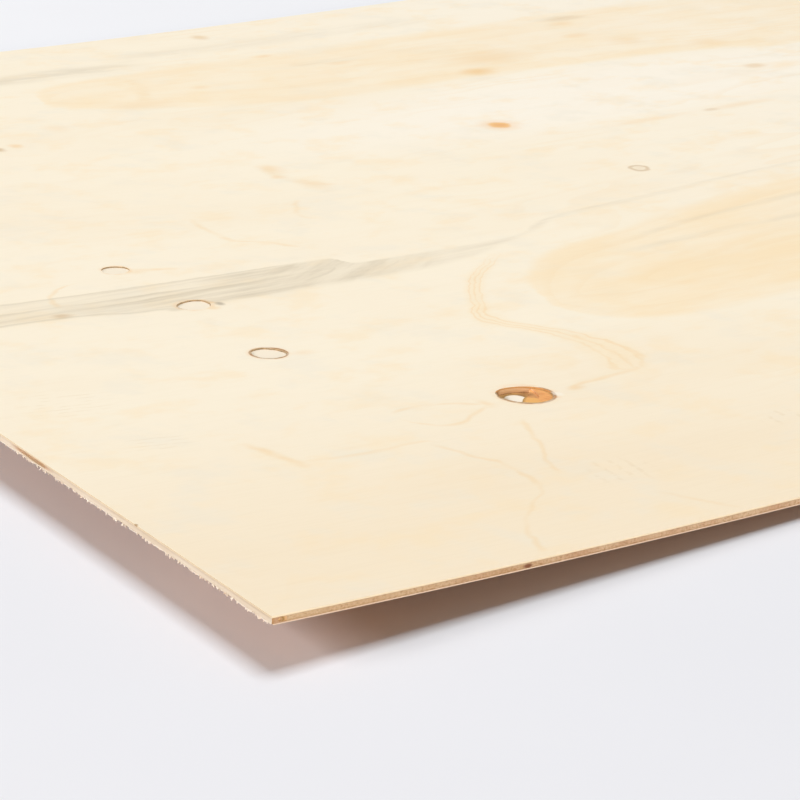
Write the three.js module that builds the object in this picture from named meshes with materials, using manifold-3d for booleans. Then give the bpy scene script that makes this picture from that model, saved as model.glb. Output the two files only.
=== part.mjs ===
// A thin 3-ply pine plywood sheet, sawn square and lying loose: flat on the floor along its middle, with
// both ends curled a little way up, as a dry sheet lies. The face veneer has open knot holes, the deepest
// of them broken on through the core, and the saw has torn the back veneer along the cross-cut ends.
//
// Millimetres, +Z up, length along X, width along Y. The origin is on the floor under the sheet's middle.
// Places on the sheet are measured from its near corner, at -X and -Y: fromEnd along X, fromEdge along Y.
import * as THREE from "three";
import { mergeVertices } from "three/addons/utils/BufferGeometryUtils.js";
import Module from "manifold-3d";

const wasm = await Module();
wasm.setup();

// The sheet and its veneers
const sheetLength = 2440;
const sheetWidth = 1220;
const faceThickness = 0.8;
const coreThickness = 2.9;
const backThickness = 0.6;
const glueLine = 0.1; // the cured glue between two veneers, left open

// The curl of each end
const curlHeight = 25; // rise of the end above the floor
const curlSpan = 1000; // length that the curl takes up
const curlSteps = 24; // straight steps that draw it

// Knot holes through the face veneer only
const openKnots = [
  { fromEnd: 219.2, fromEdge: 453.4, length: 23.6, width: 20.6, turn: 0.07, phase: 0.3 },
  { fromEnd: 209.2, fromEdge: 345.2, length: 22.5, width: 20.9, turn: -0.6, phase: 2.9 },
  { fromEnd: 212, fromEdge: 546.8, length: 18.7, width: 18.7, turn: 0.3, phase: 1.9 },
];

// The large knot hole, through the face veneer
const deepKnot = { fromEnd: 301.9, fromEdge: 206.7, length: 33.6, width: 30.6, turn: -0.83, phase: 1 };

// What came away from the core with that knot. The core snapped off right through on the left of this
// line, and part of the way down in a chip on its right. The face veneer's hole bounds both of them.
// Points are along and across from the knot's centre.
const snappedLine = [[12, 13], [9, 7.5], [6, 5.5], [5, 3], [0.5, 0.2], [-1.8, -1.7]];
const snappedOn = [[-5.5, -4.6], [-8.8, -8.8], [-12, -22]];
const chipEdge = [[2.6, -4.8], [4, -8.2], [7.5, -3.6], [9.8, 2.4]];
const chipDepth = 1.4;

const knotWaver = 0.035; // how far a knot's outline strays from an ellipse, as a share of its radius
const knotSides = 48;

// Pockets in the sawn edges of the core, from a loose knot at the end and a bark pocket at the long edge
const endPocket = { fromEdge: 245, length: 30, height: 1.7, depth: 4 };
const barkPocket = { fromEnd: 4.6, length: 2.4, height: 2, depth: 1.8 };
const pocketSides = 16;

// Breakout of the back veneer along both cross-cut ends
const breakoutPitch = 7.5; // average width of one splinter
const breakoutDepth = 2.4; // deepest break back from the sawn end

const clearOfCut = 5; // how far a cutter stands out past the veneer that it cuts

// Levels of the veneers above the underside of the sheet, square to its surface
const backTop = backThickness;
const coreBottom = backTop + glueLine;
const coreTop = coreBottom + coreThickness;
const faceBottom = coreTop + glueLine;
const faceTop = faceBottom + faceThickness;

const nearEnd = -sheetLength / 2;
const nearEdge = -sheetWidth / 2;

// Height of the underside above the floor. A strip with an even natural bend is flattened by its own
// weight, most where the span behind it is longest, so its curl grows from nothing to full at the end.
function lift(x) {
  const share = Math.max(0, Math.abs(x) - (sheetLength / 2 - curlSpan)) / curlSpan;
  return (curlHeight * (4 * share ** 3 - share ** 4)) / 3;
}

// Slope of the underside, as rise over run, away from the middle
function slope(x) {
  const share = Math.max(0, Math.abs(x) - (sheetLength / 2 - curlSpan)) / curlSpan;
  return (Math.sign(x) * curlHeight * (12 * share ** 2 - 4 * share ** 3)) / (3 * curlSpan);
}

// Point in the sheet's long section, at a level square to the curled underside
function sectionPoint(x, level) {
  const tilt = Math.atan(slope(x));
  return new THREE.Vector2(x - level * Math.sin(tilt), lift(x) + level * Math.cos(tilt));
}

// Stations along the sheet, close together where it curls and none on its flat middle
function stations() {
  const outward = [];
  for (let step = 0; step <= curlSteps; step++) {
    outward.push(sheetLength / 2 - curlSpan + (curlSpan * step) / curlSteps);
  }
  return [...outward.map((x) => -x).reverse(), ...outward];
}

// Number from 0 to 1 that wanders with no pattern from one whole number to the next
function uneven(index) {
  const wave = Math.sin(index * 12.9898) * 43758.5453;
  return wave - Math.floor(wave);
}

function solidOf(geometry) {
  geometry.deleteAttribute("normal");
  geometry.deleteAttribute("uv");
  const merged = mergeVertices(geometry);
  const vertProperties = merged.getAttribute("position").array;
  const triVerts = new Uint32Array(merged.index.array);
  return new wasm.Manifold(new wasm.Mesh({ numProp: 3, vertProperties, triVerts }));
}

function geometryOf(solid) {
  const mesh = solid.getMesh();
  const geometry = new THREE.BufferGeometry();
  geometry.setAttribute("position", new THREE.BufferAttribute(mesh.vertProperties, 3));
  geometry.setIndex(new THREE.BufferAttribute(mesh.triVerts, 1));
  geometry.computeVertexNormals();
  return geometry;
}

// Veneer between two levels, drawn as its long section and swept across the sheet
function veneer(bottom, top) {
  const under = stations().map((x) => sectionPoint(x, bottom));
  const over = stations().map((x) => sectionPoint(x, top));
  const section = new THREE.Shape([...under, ...over.reverse()]);
  const swept = new THREE.ExtrudeGeometry(section, { depth: sheetWidth, bevelEnabled: false });
  swept.rotateX(Math.PI / 2);
  swept.translate(0, sheetWidth / 2, 0);
  return solidOf(swept);
}

// Cutter with an upright wall, from a level bottom to well above the sheet
function uprightCutter(outline, x, y, bottom = -clearOfCut) {
  const depth = curlHeight + faceTop + clearOfCut - bottom;
  const cutter = new THREE.ExtrudeGeometry(outline, { depth, bevelEnabled: false });
  cutter.translate(x, y, bottom);
  return solidOf(cutter);
}

// Outline of a knot: an ellipse that wavers in two and three lobes
function knotOutline({ length, width, turn, phase }) {
  const points = [];
  for (let side = 0; side < knotSides; side++) {
    const angle = (2 * Math.PI * side) / knotSides;
    const waver = 1 + knotWaver * (Math.sin(2 * angle + phase) + Math.sin(3 * angle - 2 * phase));
    const point = new THREE.Vector2(Math.cos(angle) * length, Math.sin(angle) * width);
    points.push(point.multiplyScalar(waver / 2).rotateAround(new THREE.Vector2(), turn));
  }
  return new THREE.Shape(points);
}

function knotCutter(knot) {
  return uprightCutter(knotOutline(knot), nearEnd + knot.fromEnd, nearEdge + knot.fromEdge);
}

// Cutter for what is gone from the core under the deep knot, inside an outline and above a level floor
function coreBreakCutter(outline, floor) {
  const shape = new THREE.Shape(outline.map(([along, across]) => new THREE.Vector2(along, across)));
  const x = nearEnd + deepKnot.fromEnd;
  const y = nearEdge + deepKnot.fromEdge;
  return uprightCutter(shape, x, y, floor).intersect(knotCutter(deepKnot));
}

function throughBreakCutter() {
  const [firstAlong] = snappedLine[0];
  const [, lastAcross] = snappedOn.at(-1);
  const clear = deepKnot.length;
  const around = [[-clear, lastAcross], [-clear, clear], [firstAlong, clear]];
  return coreBreakCutter([...snappedLine, ...snappedOn, ...around], -clearOfCut);
}

function chipCutter() {
  const floor = lift(nearEnd + deepKnot.fromEnd) + coreTop - chipDepth;
  return coreBreakCutter([...snappedLine, ...chipEdge], floor);
}

// Lens-shaped pocket, given by its full size along each axis
function pocketCutter(size, position) {
  const pocket = new THREE.SphereGeometry(0.5, pocketSides, pocketSides / 2);
  pocket.scale(size.x, size.y, size.z);
  pocket.translate(position.x, position.y, position.z);
  return solidOf(pocket);
}

function endPocketCutter() {
  const middle = sectionPoint(nearEnd, (coreBottom + coreTop) / 2);
  return pocketCutter(
    new THREE.Vector3(2 * endPocket.depth, endPocket.length, endPocket.height),
    new THREE.Vector3(middle.x, nearEdge + endPocket.fromEdge, middle.y),
  );
}

function barkPocketCutter() {
  const middle = sectionPoint(nearEnd + barkPocket.fromEnd, (coreBottom + coreTop) / 2);
  return pocketCutter(
    new THREE.Vector3(barkPocket.length, 2 * barkPocket.depth, barkPocket.height),
    new THREE.Vector3(middle.x, nearEdge, middle.y),
  );
}

// Splinters broken off the back veneer along one cross-cut end: side is -1 for the near end, 1 for the far
function breakoutCutter(side) {
  const end = sheetLength / 2;
  const count = Math.round(sheetWidth / breakoutPitch);
  const outline = new THREE.Shape();
  outline.moveTo(side * (end + clearOfCut), side * (nearEdge - clearOfCut));
  outline.lineTo(side * (end + clearOfCut), side * (clearOfCut - nearEdge));
  for (let splinter = count; splinter >= 0; splinter--) {
    const seed = side * (splinter + count);
    const shift = (uneven(seed) - 0.5) * breakoutPitch * 0.7;
    const depth = breakoutDepth * uneven(seed + 0.5) ** 2;
    const along = side * (nearEdge + splinter * (sheetWidth / count) + shift);
    outline.lineTo(side * (end - depth), along + side * uneven(seed + 0.25) * breakoutPitch * 0.3);
    outline.lineTo(side * (end - depth * uneven(seed + 0.75)), along);
  }
  outline.closePath();
  return uprightCutter(outline, 0, 0);
}

function faceVeneer() {
  return [...openKnots, deepKnot].reduce(
    (solid, knot) => solid.subtract(knotCutter(knot)),
    veneer(faceBottom, faceTop),
  );
}

function coreVeneer() {
  return veneer(coreBottom, coreTop)
    .subtract(throughBreakCutter())
    .subtract(chipCutter())
    .subtract(endPocketCutter())
    .subtract(barkPocketCutter());
}

function backVeneer() {
  return veneer(0, backTop).subtract(breakoutCutter(-1)).subtract(breakoutCutter(1));
}

function named(name, solid, material) {
  const mesh = new THREE.Mesh(geometryOf(solid), material);
  mesh.name = name;
  return mesh;
}

const faceWood = new THREE.MeshStandardMaterial({ color: 0xf6e3c4, roughness: 0.7, metalness: 0 });
const coreWood = new THREE.MeshStandardMaterial({ color: 0xd6b68c, roughness: 0.85, metalness: 0 });
const backWood = new THREE.MeshStandardMaterial({ color: 0xe9cfae, roughness: 0.8, metalness: 0 });

const sheet = new THREE.Group();
sheet.add(named("back_veneer", backVeneer(), backWood));
sheet.add(named("core_veneer", coreVeneer(), coreWood));
sheet.add(named("face_veneer", faceVeneer(), faceWood));

export default sheet;
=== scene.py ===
"""Finishes a three-ply sheet of rotary-cut pine and sets it on a pale studio floor.

Each operator makes one piece or a group of like pieces, and the panel in the 3D view's sidebar lists them.
Places on the sheet are given in millimetres from its near corner: along its length, then across it.
"""

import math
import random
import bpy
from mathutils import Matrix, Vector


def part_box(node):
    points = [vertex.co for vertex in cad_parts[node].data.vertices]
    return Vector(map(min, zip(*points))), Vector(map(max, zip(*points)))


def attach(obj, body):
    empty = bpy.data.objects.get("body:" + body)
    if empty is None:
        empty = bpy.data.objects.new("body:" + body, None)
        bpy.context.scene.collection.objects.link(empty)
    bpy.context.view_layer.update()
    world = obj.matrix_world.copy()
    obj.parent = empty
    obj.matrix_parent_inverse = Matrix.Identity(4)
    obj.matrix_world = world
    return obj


bl_info = {
    "name": "Plywood Sheet",
    "version": (1, 0, 0),
    "blender": (4, 5, 0),
    "location": "View3D > Sidebar > Plywood",
    "description": "Veneers, knots and torn edges of a thin pine plywood sheet",
    "category": "Object",
}

from functools import cached_property, reduce

import bpy
from bpy.props import FloatProperty, FloatVectorProperty, IntProperty, PointerProperty
from mathutils import Euler, Matrix, Vector

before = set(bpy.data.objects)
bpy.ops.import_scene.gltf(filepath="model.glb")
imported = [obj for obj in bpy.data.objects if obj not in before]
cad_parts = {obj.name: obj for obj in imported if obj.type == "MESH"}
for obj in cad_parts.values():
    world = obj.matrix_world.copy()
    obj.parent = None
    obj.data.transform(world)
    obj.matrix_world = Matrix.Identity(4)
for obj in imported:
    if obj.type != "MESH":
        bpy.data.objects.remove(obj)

MM = 0.001
LOW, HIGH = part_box("face_veneer")
LENGTH = (HIGH.x - LOW.x) / MM
WIDTH = (HIGH.y - LOW.y) / MM
CURL_HEIGHT = 25  # rise of each end above the floor, in millimetres
CURL_SPAN = 1000  # length that each end's curl takes up, in millimetres
END_POCKET = 245  # place of the pocket across the near end
BARK_POCKET = 4.6  # place of the pocket along the near long edge
KNOT_HOLES = {  # centre, half size and turn
    "stained_knot": ((219.2, 453.4), (11.8, 10.3), 0.07),
    "ringed_knot": ((209.2, 345.2), (11.3, 10.5), -0.6),
    "small_knot": ((212, 546.8), (9.4, 9.4), 0.3),
    "deep_knot": ((301.9, 206.7), (16.8, 15.3), -0.83),
}
DEEP_KNOT = KNOT_HOLES["deep_knot"]

ALONG, ACROSS, UP = range(3)  # parts of a place or direction
SQUARE = (0.9, 0.98)  # how nearly an edge faces one way: not yet sawn square, and fully so
UPRIGHT = (0.7, 0.3)  # how nearly a surface faces up: not yet a wall, and fully one
WALL_REACH = 1.25  # how far out the wall of a knot hole may lie, as a share of its longer half size

FLOOR_SIZE = 60  # side of the floor, in metres
SENSOR_WIDTH = 36  # width of the camera's sensor, in millimetres
SEEN_FROM, SEEN_TO = 0.01, 100  # nearest and farthest that the camera sees, in metres

# Settings


def tint(name, default, description):
    """Colour property, in linear shares."""
    return FloatVectorProperty(
        name=name, description=description, subtype="COLOR", size=3, min=0, max=1, default=default
    )


def colour(name, chip, description):
    """Colour property whose default is a paint chip in 8-bit display values."""
    shown = [value / 255 for value in chip]
    linear = [share / 12.92 if share <= 0.04045 else ((share + 0.055) / 1.055) ** 2.4 for share in shown]
    return tint(name, linear, description)


def level(name, default, description):
    return FloatProperty(
        name=name, description=description, subtype="FACTOR", min=0, max=2, default=default
    )


def place(name, default, description):
    return FloatVectorProperty(
        name=name, description=description, subtype="TRANSLATION", unit="LENGTH", size=3, default=default
    )


def length(name, default, description):
    return FloatProperty(
        name=name, description=description, subtype="DISTANCE", unit="LENGTH", min=0, default=default
    )


def angle(name, degrees, description):
    return FloatProperty(
        name=name, description=description, subtype="ANGLE", unit="ROTATION", default=math.radians(degrees)
    )


class PlywoodFaceSettings(bpy.types.PropertyGroup):
    """Colours of the good face."""

    sapwood: colour("Sapwood", (252, 240, 216), "Palest wood of most of the face")
    white_wood: colour("White wood", (254, 246, 231), "Nearly white wood of the far band")
    cream: colour("Cream wood", (248, 231, 202), "Warmer wood near the long edge")
    grey_wood: colour("Grey wood", (240, 232, 214), "Cool patches of the mottled wood")
    heartwood: colour("Heartwood", (251, 227, 186), "Warm islands inside the growth lines")
    growth_line: colour("Growth lines", (243, 208, 152), "Late wood of the growth rings")
    blue_stain: colour("Blue stain", (212, 197, 170), "Grey streaks that stain fungus leaves")
    knot_wood: colour("Knot wood", (242, 188, 118), "Wood of a sound knot")
    pitch_spot: colour("Pitch spots", (240, 196, 128), "Soft spots of resin in the face")
    knot_heart: colour("Knot heart", (214, 130, 66), "Dark heart of a sound knot")
    knot_rim: colour("Knot rim", (196, 158, 104), "Dull rim of a faint knot")
    rim_bark_and_shade: colour("Rim line", (166, 116, 64), "Thin line of bark along the near rims of the knot holes")
    # painted shade: along the deep knot's near rim this bark-coloured line also stands in for the shade of
    # the gap there
    stain_dirt: colour("Dirt", (150, 138, 120), "Speck of dirt by the stained knot hole")
    hole_wall: colour("Hole wall", (230, 182, 122), "Wood in the wall of a knot hole")
    sawn_end: colour("Sawn end", (238, 218, 180), "Edge of the veneer along the cross-cut ends")
    # painted highlight: the long sides' sawn edge is painted paler than the ends, partly a highlight along
    # the arris
    sawn_side_and_highlight: colour("Sawn side", (255, 241, 208), "Edge of the veneer along the long sides")
    chipped_edge: colour("Chipped edge", (176, 140, 92), "Small chip in the sawn end")
    grain_contrast: level("Grain contrast", 0.32, "How far the fine fibres darken the wood")


class PlywoodCoreSettings(bpy.types.PropertyGroup):
    """Colours of the core and the back."""

    side_grain: colour("Core side grain", (240, 226, 203), "Core where it is seen along its fibres")
    knot_floor: colour("Knot floor", (250, 237, 214), "Core at the bottom of the open knot holes")
    end_grain: colour("Core end grain", (222, 197, 163), "Core where the saw cut across its fibres")
    fresh_end: colour("Fresh end grain", (213, 186, 143), "Yellower end grain near the corner")
    end_band: colour("Core end bands", (208, 174, 141), "Darker bands of the end grain")
    pores: colour("End grain pores", (166, 122, 88), "Dark specks in the end grain")
    pitch: colour("Pitch wood", (232, 160, 98), "Resin-soaked wood round the deep knot")
    clear_pitch: colour("Clear pitch", (248, 182, 114), "Clearest resin-soaked wood")
    # painted shade: dark of the deep knot's deepest places, partly bark
    bark_and_depth_shade: colour("Bark seam", (140, 98, 60), "Bark at the bottom of the chip")
    gold: colour("Golden wood", (240, 182, 106), "Splinter of the core left in the deep knot")
    # painted light: paler than the pitch wood, standing in for light on the shaded walls round the deep
    # knot
    lit_broken_wall: colour("Broken wall", (255, 221, 178), "Wall of the core round the deep knot")
    # painted shade: brown chip wood, darkened more the deeper the chip's floor lies
    chip_floor_and_shade: colour("Chip floor", (206, 150, 98), "Bottom of the chip beside the deep knot's splinter")
    # painted shade: in the deep knot this dark stands in for shade at the foot of walls and along the
    # snapped edge
    old_glue_and_shade: colour("Old glue", (174, 136, 82), "Dark glue and bark along seams and broken edges")
    glue_ledge: colour("Glued ledge", (214, 166, 106), "Ledge of the back veneer where glue has soaked in")
    stained_wood: colour("Stained wood", (200, 160, 124), "Core round the pockets")
    dark_pitch: colour("Dark pitch", (178, 130, 74), "Dark resin-soaked wood")
    pocket: colour("Pocket", (196, 146, 92), "Bark by the pocket in the near end")
    # painted light: the pockets' insides are painted pale to lift their shade
    lit_pocket_wall: colour("Pocket wall", (234, 208, 170), "Wood inside the pockets, in their own shade")
    edge_knot: colour("Edge knot", (120, 68, 46), "Rims of the back's knots, and the knot that the saw cut")
    back_wood: colour("Back veneer", (222, 172, 128), "Rough veneer of the underside")
    back_dark: colour("Back patches", (212, 158, 112), "Darker patches of the underside")
    back_ring: colour("Back rings", (192, 144, 100), "Growth rings of the underside")
    back_knot: colour("Back knots", (206, 142, 86), "Sound knots of the underside")
    back_side: colour("Back sawn side", (242, 222, 198), "Edge of the back veneer")
    back_inside: colour("Back inside", (255, 245, 226), "Inner face of the back veneer in the deep knot")
    torn_wood: colour("Torn wood", (250, 239, 221), "Torn end of the back veneer and its fibres")


class PlywoodBarkSettings(bpy.types.PropertyGroup):
    """Bark left in the knot holes."""

    bark: colour("Bark", (170, 148, 116), "Dry bark round a loose knot")
    bark_light: colour("Worn bark", (206, 178, 140), "Bark where it has rubbed")
    thickness: length("Bark thickness", 0.0005, "Thickness of the bark that lines a knot hole")


class PlywoodFibreSettings(bpy.types.PropertyGroup):
    """Fibres that the saw tore along the cross-cut ends."""

    spacing: length("Fibre spacing", 0.0018, "Average distance between tufts of torn fibres")
    length: length("Fibre length", 0.0013, "Length of the longest torn fibre, without its tip")
    width: length("Fibre width", 0.0028, "Widest torn fibre")
    thickness: length("Fibre thickness", 0.00035, "Thickness of a torn fibre at its root")
    seed: IntProperty(name="Seed", description="Start of the random draws for the fibres", min=0, default=7)


class PlywoodStageSettings(bpy.types.PropertyGroup):
    """Floor, light and camera. A light of level 1 would show a white floor at full white by itself."""

    floor: colour("Floor", (237, 237, 240), "Plain pale floor")
    # painted light: the far floor is painted paler where the softboxes give less light
    far_floor_painted_light: colour("Far floor", (246, 246, 248), "Floor past the sheet, which the softboxes light less")
    overhead_level: level("Overhead level", 0.625, "Light from the overhead softbox at the near end")
    overhead_tint: tint("Overhead tint", (0.85, 0.94, 1), "Tint of the overhead softbox")
    overhead_place: place("Overhead place", (0.3, 0.1, 10), "Middle of the overhead softbox")
    overhead_size: length("Overhead size", 4.8, "Side of the square overhead softbox")
    side_level: level("Side level", 0.295, "Light from the low softbox at the near end")
    side_tint: tint("Side tint", (1, 0.94, 0.94), "Tint of the low softbox")
    side_place: place("Side place", (-8.6, 1.6, 4.2), "Middle of the low softbox, off the near end")
    side_size: length("Side size", 3, "Side of the square low softbox")
    front_level: level("Front level", 0.043, "Light from the front softbox at the near end")
    front_tint: tint("Front tint", (1, 0.83, 0.70), "Tint of the front softbox")
    front_place: place("Front place", (-1.2, -9.6, 1), "Middle of the front softbox, off the long edge")
    front_size: length("Front size", 2, "Side of the square front softbox")
    fill_level: level("Fill level", 0.160, "Light that comes evenly from the whole room")
    fill_tint: tint("Fill tint", (1, 0.80, 0.66), "Tint of the light that the room gives")
    camera_place: place("Camera place", (-1.79013, -1.55666, 0.54747), "Place of the camera's lens")
    camera_heading: angle("Heading", 34.16, "Turn of the camera from the sheet's width towards its length")
    camera_tilt: angle("Tilt", 20.4, "Angle of the camera below the horizon")
    camera_lens: FloatProperty(name="Lens", description="Focal length", unit="CAMERA", default=117.51)


# Steps of a material


class Recipe:
    """Material or room light built from nodes, step by step. Each step returns the socket of its result."""

    def __init__(self, holder):
        holder.use_nodes = True
        self.holder = holder
        self.tree = holder.node_tree
        self.tree.nodes.clear()
        self.split = {}
        self.base = None

    @cached_property
    def spot(self):
        """Place on the sheet in millimetres, from its near corner and the floor."""
        metres = self.step("ShaderNodeTexCoord", {}).outputs["Object"]
        return self.shifted(metres, (1 / MM, 1 / MM, 1 / MM), (LENGTH / 2, WIDTH / 2, 0))

    @cached_property
    def facing(self):
        """The three parts of the surface's direction."""
        return self.parts(self.step("ShaderNodeNewGeometry", {}).outputs["Normal"])

    def step(self, kind, inputs, **settings):
        """Adds a node, with its settings and then its inputs, which are sockets or plain values."""
        node = self.tree.nodes.new(kind)
        for name, value in settings.items():
            setattr(node, name, value)
        for name, value in inputs.items():
            socket = node.inputs[name]
            if isinstance(value, bpy.types.NodeSocket):
                self.tree.links.new(value, socket)
            else:
                socket.default_value = (*value, 1) if socket.type == "RGBA" else value
        return node

    def calc(self, operation, first, second=0, third=0, clamp=False):
        inputs = {0: first, 1: second, 2: third}
        return self.step("ShaderNodeMath", inputs, operation=operation, use_clamp=clamp).outputs[0]

    def product(self, *values):
        return reduce(lambda first, second: self.calc("MULTIPLY", first, second), values)

    def most(self, *values):
        return reduce(lambda first, second: self.calc("MAXIMUM", first, second), values)

    def least(self, *values):
        return reduce(lambda first, second: self.calc("MINIMUM", first, second), values)

    def gap(self, value, other):
        return self.calc("ABSOLUTE", self.calc("SUBTRACT", value, other))

    def even(self, value, start, end, low=0, high=1, way="LINEAR"):
        """Straight change from low at start to high at end."""
        inputs = {"Value": value, 1: start, 2: end, 3: low, 4: high}
        return self.step("ShaderNodeMapRange", inputs, interpolation_type=way).outputs[0]

    def ease(self, value, start, end, low=0, high=1):
        """Smooth change from low at start to high at end."""
        return self.even(value, start, end, low, high, "SMOOTHSTEP")

    def swell(self, value, start, full, fade, end):
        """Share that rises from start to full, and falls again from fade to end."""
        return self.product(self.ease(value, start, full), self.ease(value, end, fade))

    def late_wood(self, field, start, full, fade):
        """Share of late wood, which darkens slowly through each ring of a field and ends at once."""
        return self.swell(self.calc("FRACT", field), start, full, fade, 1)

    def shifted(self, vector, factor, shift):
        """Vector times a factor, plus a shift."""
        inputs = {0: vector, 1: factor, 2: shift}
        return self.step("ShaderNodeVectorMath", inputs, operation="MULTIPLY_ADD").outputs[0]

    def parts(self, vector):
        """The three parts of a vector, split only once."""
        if vector not in self.split:
            self.split[vector] = self.step("ShaderNodeSeparateXYZ", {0: vector}).outputs
        return self.split[vector]

    def join(self, x, y):
        return self.step("ShaderNodeCombineXYZ", {0: x, 1: y, 2: 0}).outputs[0]

    def faces(self, way, start, end):
        """Share of a surface that faces one way or its opposite, by how nearly it does."""
        return self.ease(self.calc("ABSOLUTE", self.facing[way]), start, end)

    def level(self):
        """Height above the sheet's curled underside, in millimetres."""
        along, _, height = self.parts(self.spot)
        share = self.even(self.gap(along, LENGTH / 2), LENGTH / 2 - CURL_SPAN, LENGTH / 2)
        rise = self.product(self.calc("POWER", share, 3), self.calc("SUBTRACT", 4, share), CURL_HEIGHT / 3)
        return self.calc("SUBTRACT", height, rise)

    def clouds(self, vector, size, detail, rough, turn=0):
        """Cloudy pattern of a size in millimetres, which is flat where the size has two parts."""
        flat = len(size) == 2
        size = (*size, 1) if flat else size
        if turn:
            inputs = {"Vector": vector, "Scale": size, "Rotation": (0, 0, turn)}
            vector = self.step("ShaderNodeMapping", inputs, vector_type="TEXTURE").outputs[0]
        else:
            vector = self.shifted(vector, [1 / part for part in size], (0, 0, 0))
        inputs = {"Vector": vector, "Scale": 1, "Detail": detail, "Roughness": rough}
        return self.step("ShaderNodeTexNoise", inputs, noise_dimensions="2D" if flat else "3D").outputs

    def noise(self, vector, size, detail, rough, turn=0):
        """Cloudy noise between 0 and 1."""
        return self.clouds(vector, size, detail, rough, turn)["Fac"]

    def wander(self, size, reach):
        """Spot pushed about by noise, by up to about half of reach."""
        inputs = {0: self.clouds(self.spot, size, 2, 0.5)["Color"], 1: (0.5, 0.5, 0.5)}
        middle = self.step("ShaderNodeVectorMath", inputs, operation="SUBTRACT").outputs[0]
        return self.shifted(middle, (*reach, 0), self.spot)

    def curve(self, value, points):
        """Curve through the points, each a pair of the value and its result, in real units."""
        points = sorted(points)
        start, end = points[0][0], points[-1][0]
        results = [result for _, result in points]
        low, reach = min(results), max(results) - min(results)
        node = self.step("ShaderNodeFloatCurve", {"Value": self.even(value, start, end)})
        drawn = node.mapping.curves[0]
        while len(drawn.points) < len(points):
            drawn.points.new(0.5, 0.5)
        for knob, (run, result) in zip(drawn.points, points):
            knob.location = ((run - start) / (end - start), (result - low) / reach)
            knob.handle_type = "AUTO_CLAMPED"
        node.mapping.update()
        return self.calc("MULTIPLY_ADD", node.outputs[0], reach, low)

    def within(self, run, off, top, bottom):
        """How far off lies below a drawn top edge, and above a drawn bottom edge."""
        under_top = self.calc("SUBTRACT", self.curve(run, top), off)
        return under_top, self.calc("SUBTRACT", off, self.curve(run, bottom))

    def trace(self, run, off, points, width, strength=1, fade=12):
        """Share of a drawn line: its middle follows the points, each a pair of run and off."""
        aside = self.gap(off, self.curve(run, points))
        start = min(point[0] for point in points)
        half = (max(point[0] for point in points) - start) / 2
        inside = self.ease(self.gap(run, start + half), half, half - min(fade, half))
        return self.product(self.ease(aside, width, 0, 0, strength), inside)

    def radius(self, vector, centre, half_size, turn=0):
        """Distance from the centre of an oval, which is 1 on its outline."""
        if not turn:
            factor = (1 / half_size[0], 1 / half_size[1], 0)
            offset = self.shifted(vector, factor, (-centre[0] * factor[0], -centre[1] * factor[1], 0))
            return self.step("ShaderNodeVectorMath", {0: offset}, operation="LENGTH").outputs["Value"]
        along, across, _ = self.parts(vector)
        squares = 0
        for half, lean in zip(half_size, (turn, turn + math.pi / 2)):
            lengthwise, crosswise = math.cos(lean) / half, math.sin(lean) / half
            start = -centre[0] * lengthwise - centre[1] * crosswise
            offset = self.calc("MULTIPLY_ADD", across, crosswise, start)
            offset = self.calc("MULTIPLY_ADD", along, lengthwise, offset)
            squares = self.calc("MULTIPLY_ADD", offset, offset, squares)
        return self.calc("SQRT", squares)

    def dab(self, vector, centre, half_size, start, end, strength=1, turn=0):
        """Share of a soft oval, from none at start to its strength at end, as shares of its half size."""
        return self.ease(self.radius(vector, centre, half_size, turn), start, end, 0, strength)

    def blend(self, share, first, second, way="MIX"):
        inputs = {0: share, 6: first, 7: second}
        return self.step("ShaderNodeMix", inputs, data_type="RGBA", blend_type=way).outputs[2]

    def coat(self, share, tone, way="MIX"):
        """Lays a tone over the base, by a share of its full strength."""
        self.base = self.blend(share, self.base, tone, way)

    def darken(self, share, tone):
        """Multiplies the base by a tone, by a share of its full strength."""
        self.coat(share, tone, "MULTIPLY")

    def inlay(self, share, draw, *details):
        """Sets a finish of its own, which draw makes, into the base."""
        around = self.base
        draw(self, *details)
        self.base = self.blend(share, around, self.base)

    def finish(self, roughness, height, depth, specular=0.3):
        """Closes the material with its roughness and relief, whose depth is in millimetres."""
        bump = self.step("ShaderNodeBump", {"Height": height, "Strength": 1, "Distance": depth * MM})
        inputs = {
            "Base Color": self.base,
            "Roughness": roughness,
            "Normal": bump.outputs[0],
            "Specular IOR Level": specular,
        }
        shader = self.step("ShaderNodeBsdfPrincipled", inputs)
        self.step("ShaderNodeOutputMaterial", {0: shader.outputs[0]})
        return self.holder


def new_wood(name):
    return Recipe(bpy.data.materials.new(name))


# Face veneer


def plain_wood(wood, look):
    """Pale sapwood, creamier towards the near long edge and in slow patches."""
    along, across, _ = wood.parts(wood.spot)
    clouds = wood.noise(wood.spot, (300, 120), 3, 0.55)
    near_edge = wood.product(wood.ease(across, 330, 20), wood.ease(along, 700, 200, 0.45, 1))
    creamy = wood.calc("ADD", near_edge, wood.ease(clouds, 0.35, 0.75, 0, 0.32), clamp=True)
    wood.base = wood.blend(creamy, look.sapwood, look.cream)
    pale = wood.dab(wood.spot, (860, 800), (420, 120), 1.25, 0.35, 0.7)
    wood.coat(wood.most(pale, wood.ease(along, 480, 1100, 0, 0.42)), look.white_wood)


def mottle(wood, spot, look):
    """Small warm and grey patches, left where the grain dips under the knife."""
    warm = wood.noise(spot, (50, 38), 3, 0.65)
    grey = wood.noise(spot, (44, 58), 3, 0.65, 0.7)
    wood.coat(wood.ease(warm, 0.48, 0.76, 0, 0.36), look.heartwood)
    wood.coat(wood.ease(grey, 0.50, 0.76, 0, 0.32), look.grey_wood)


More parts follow.
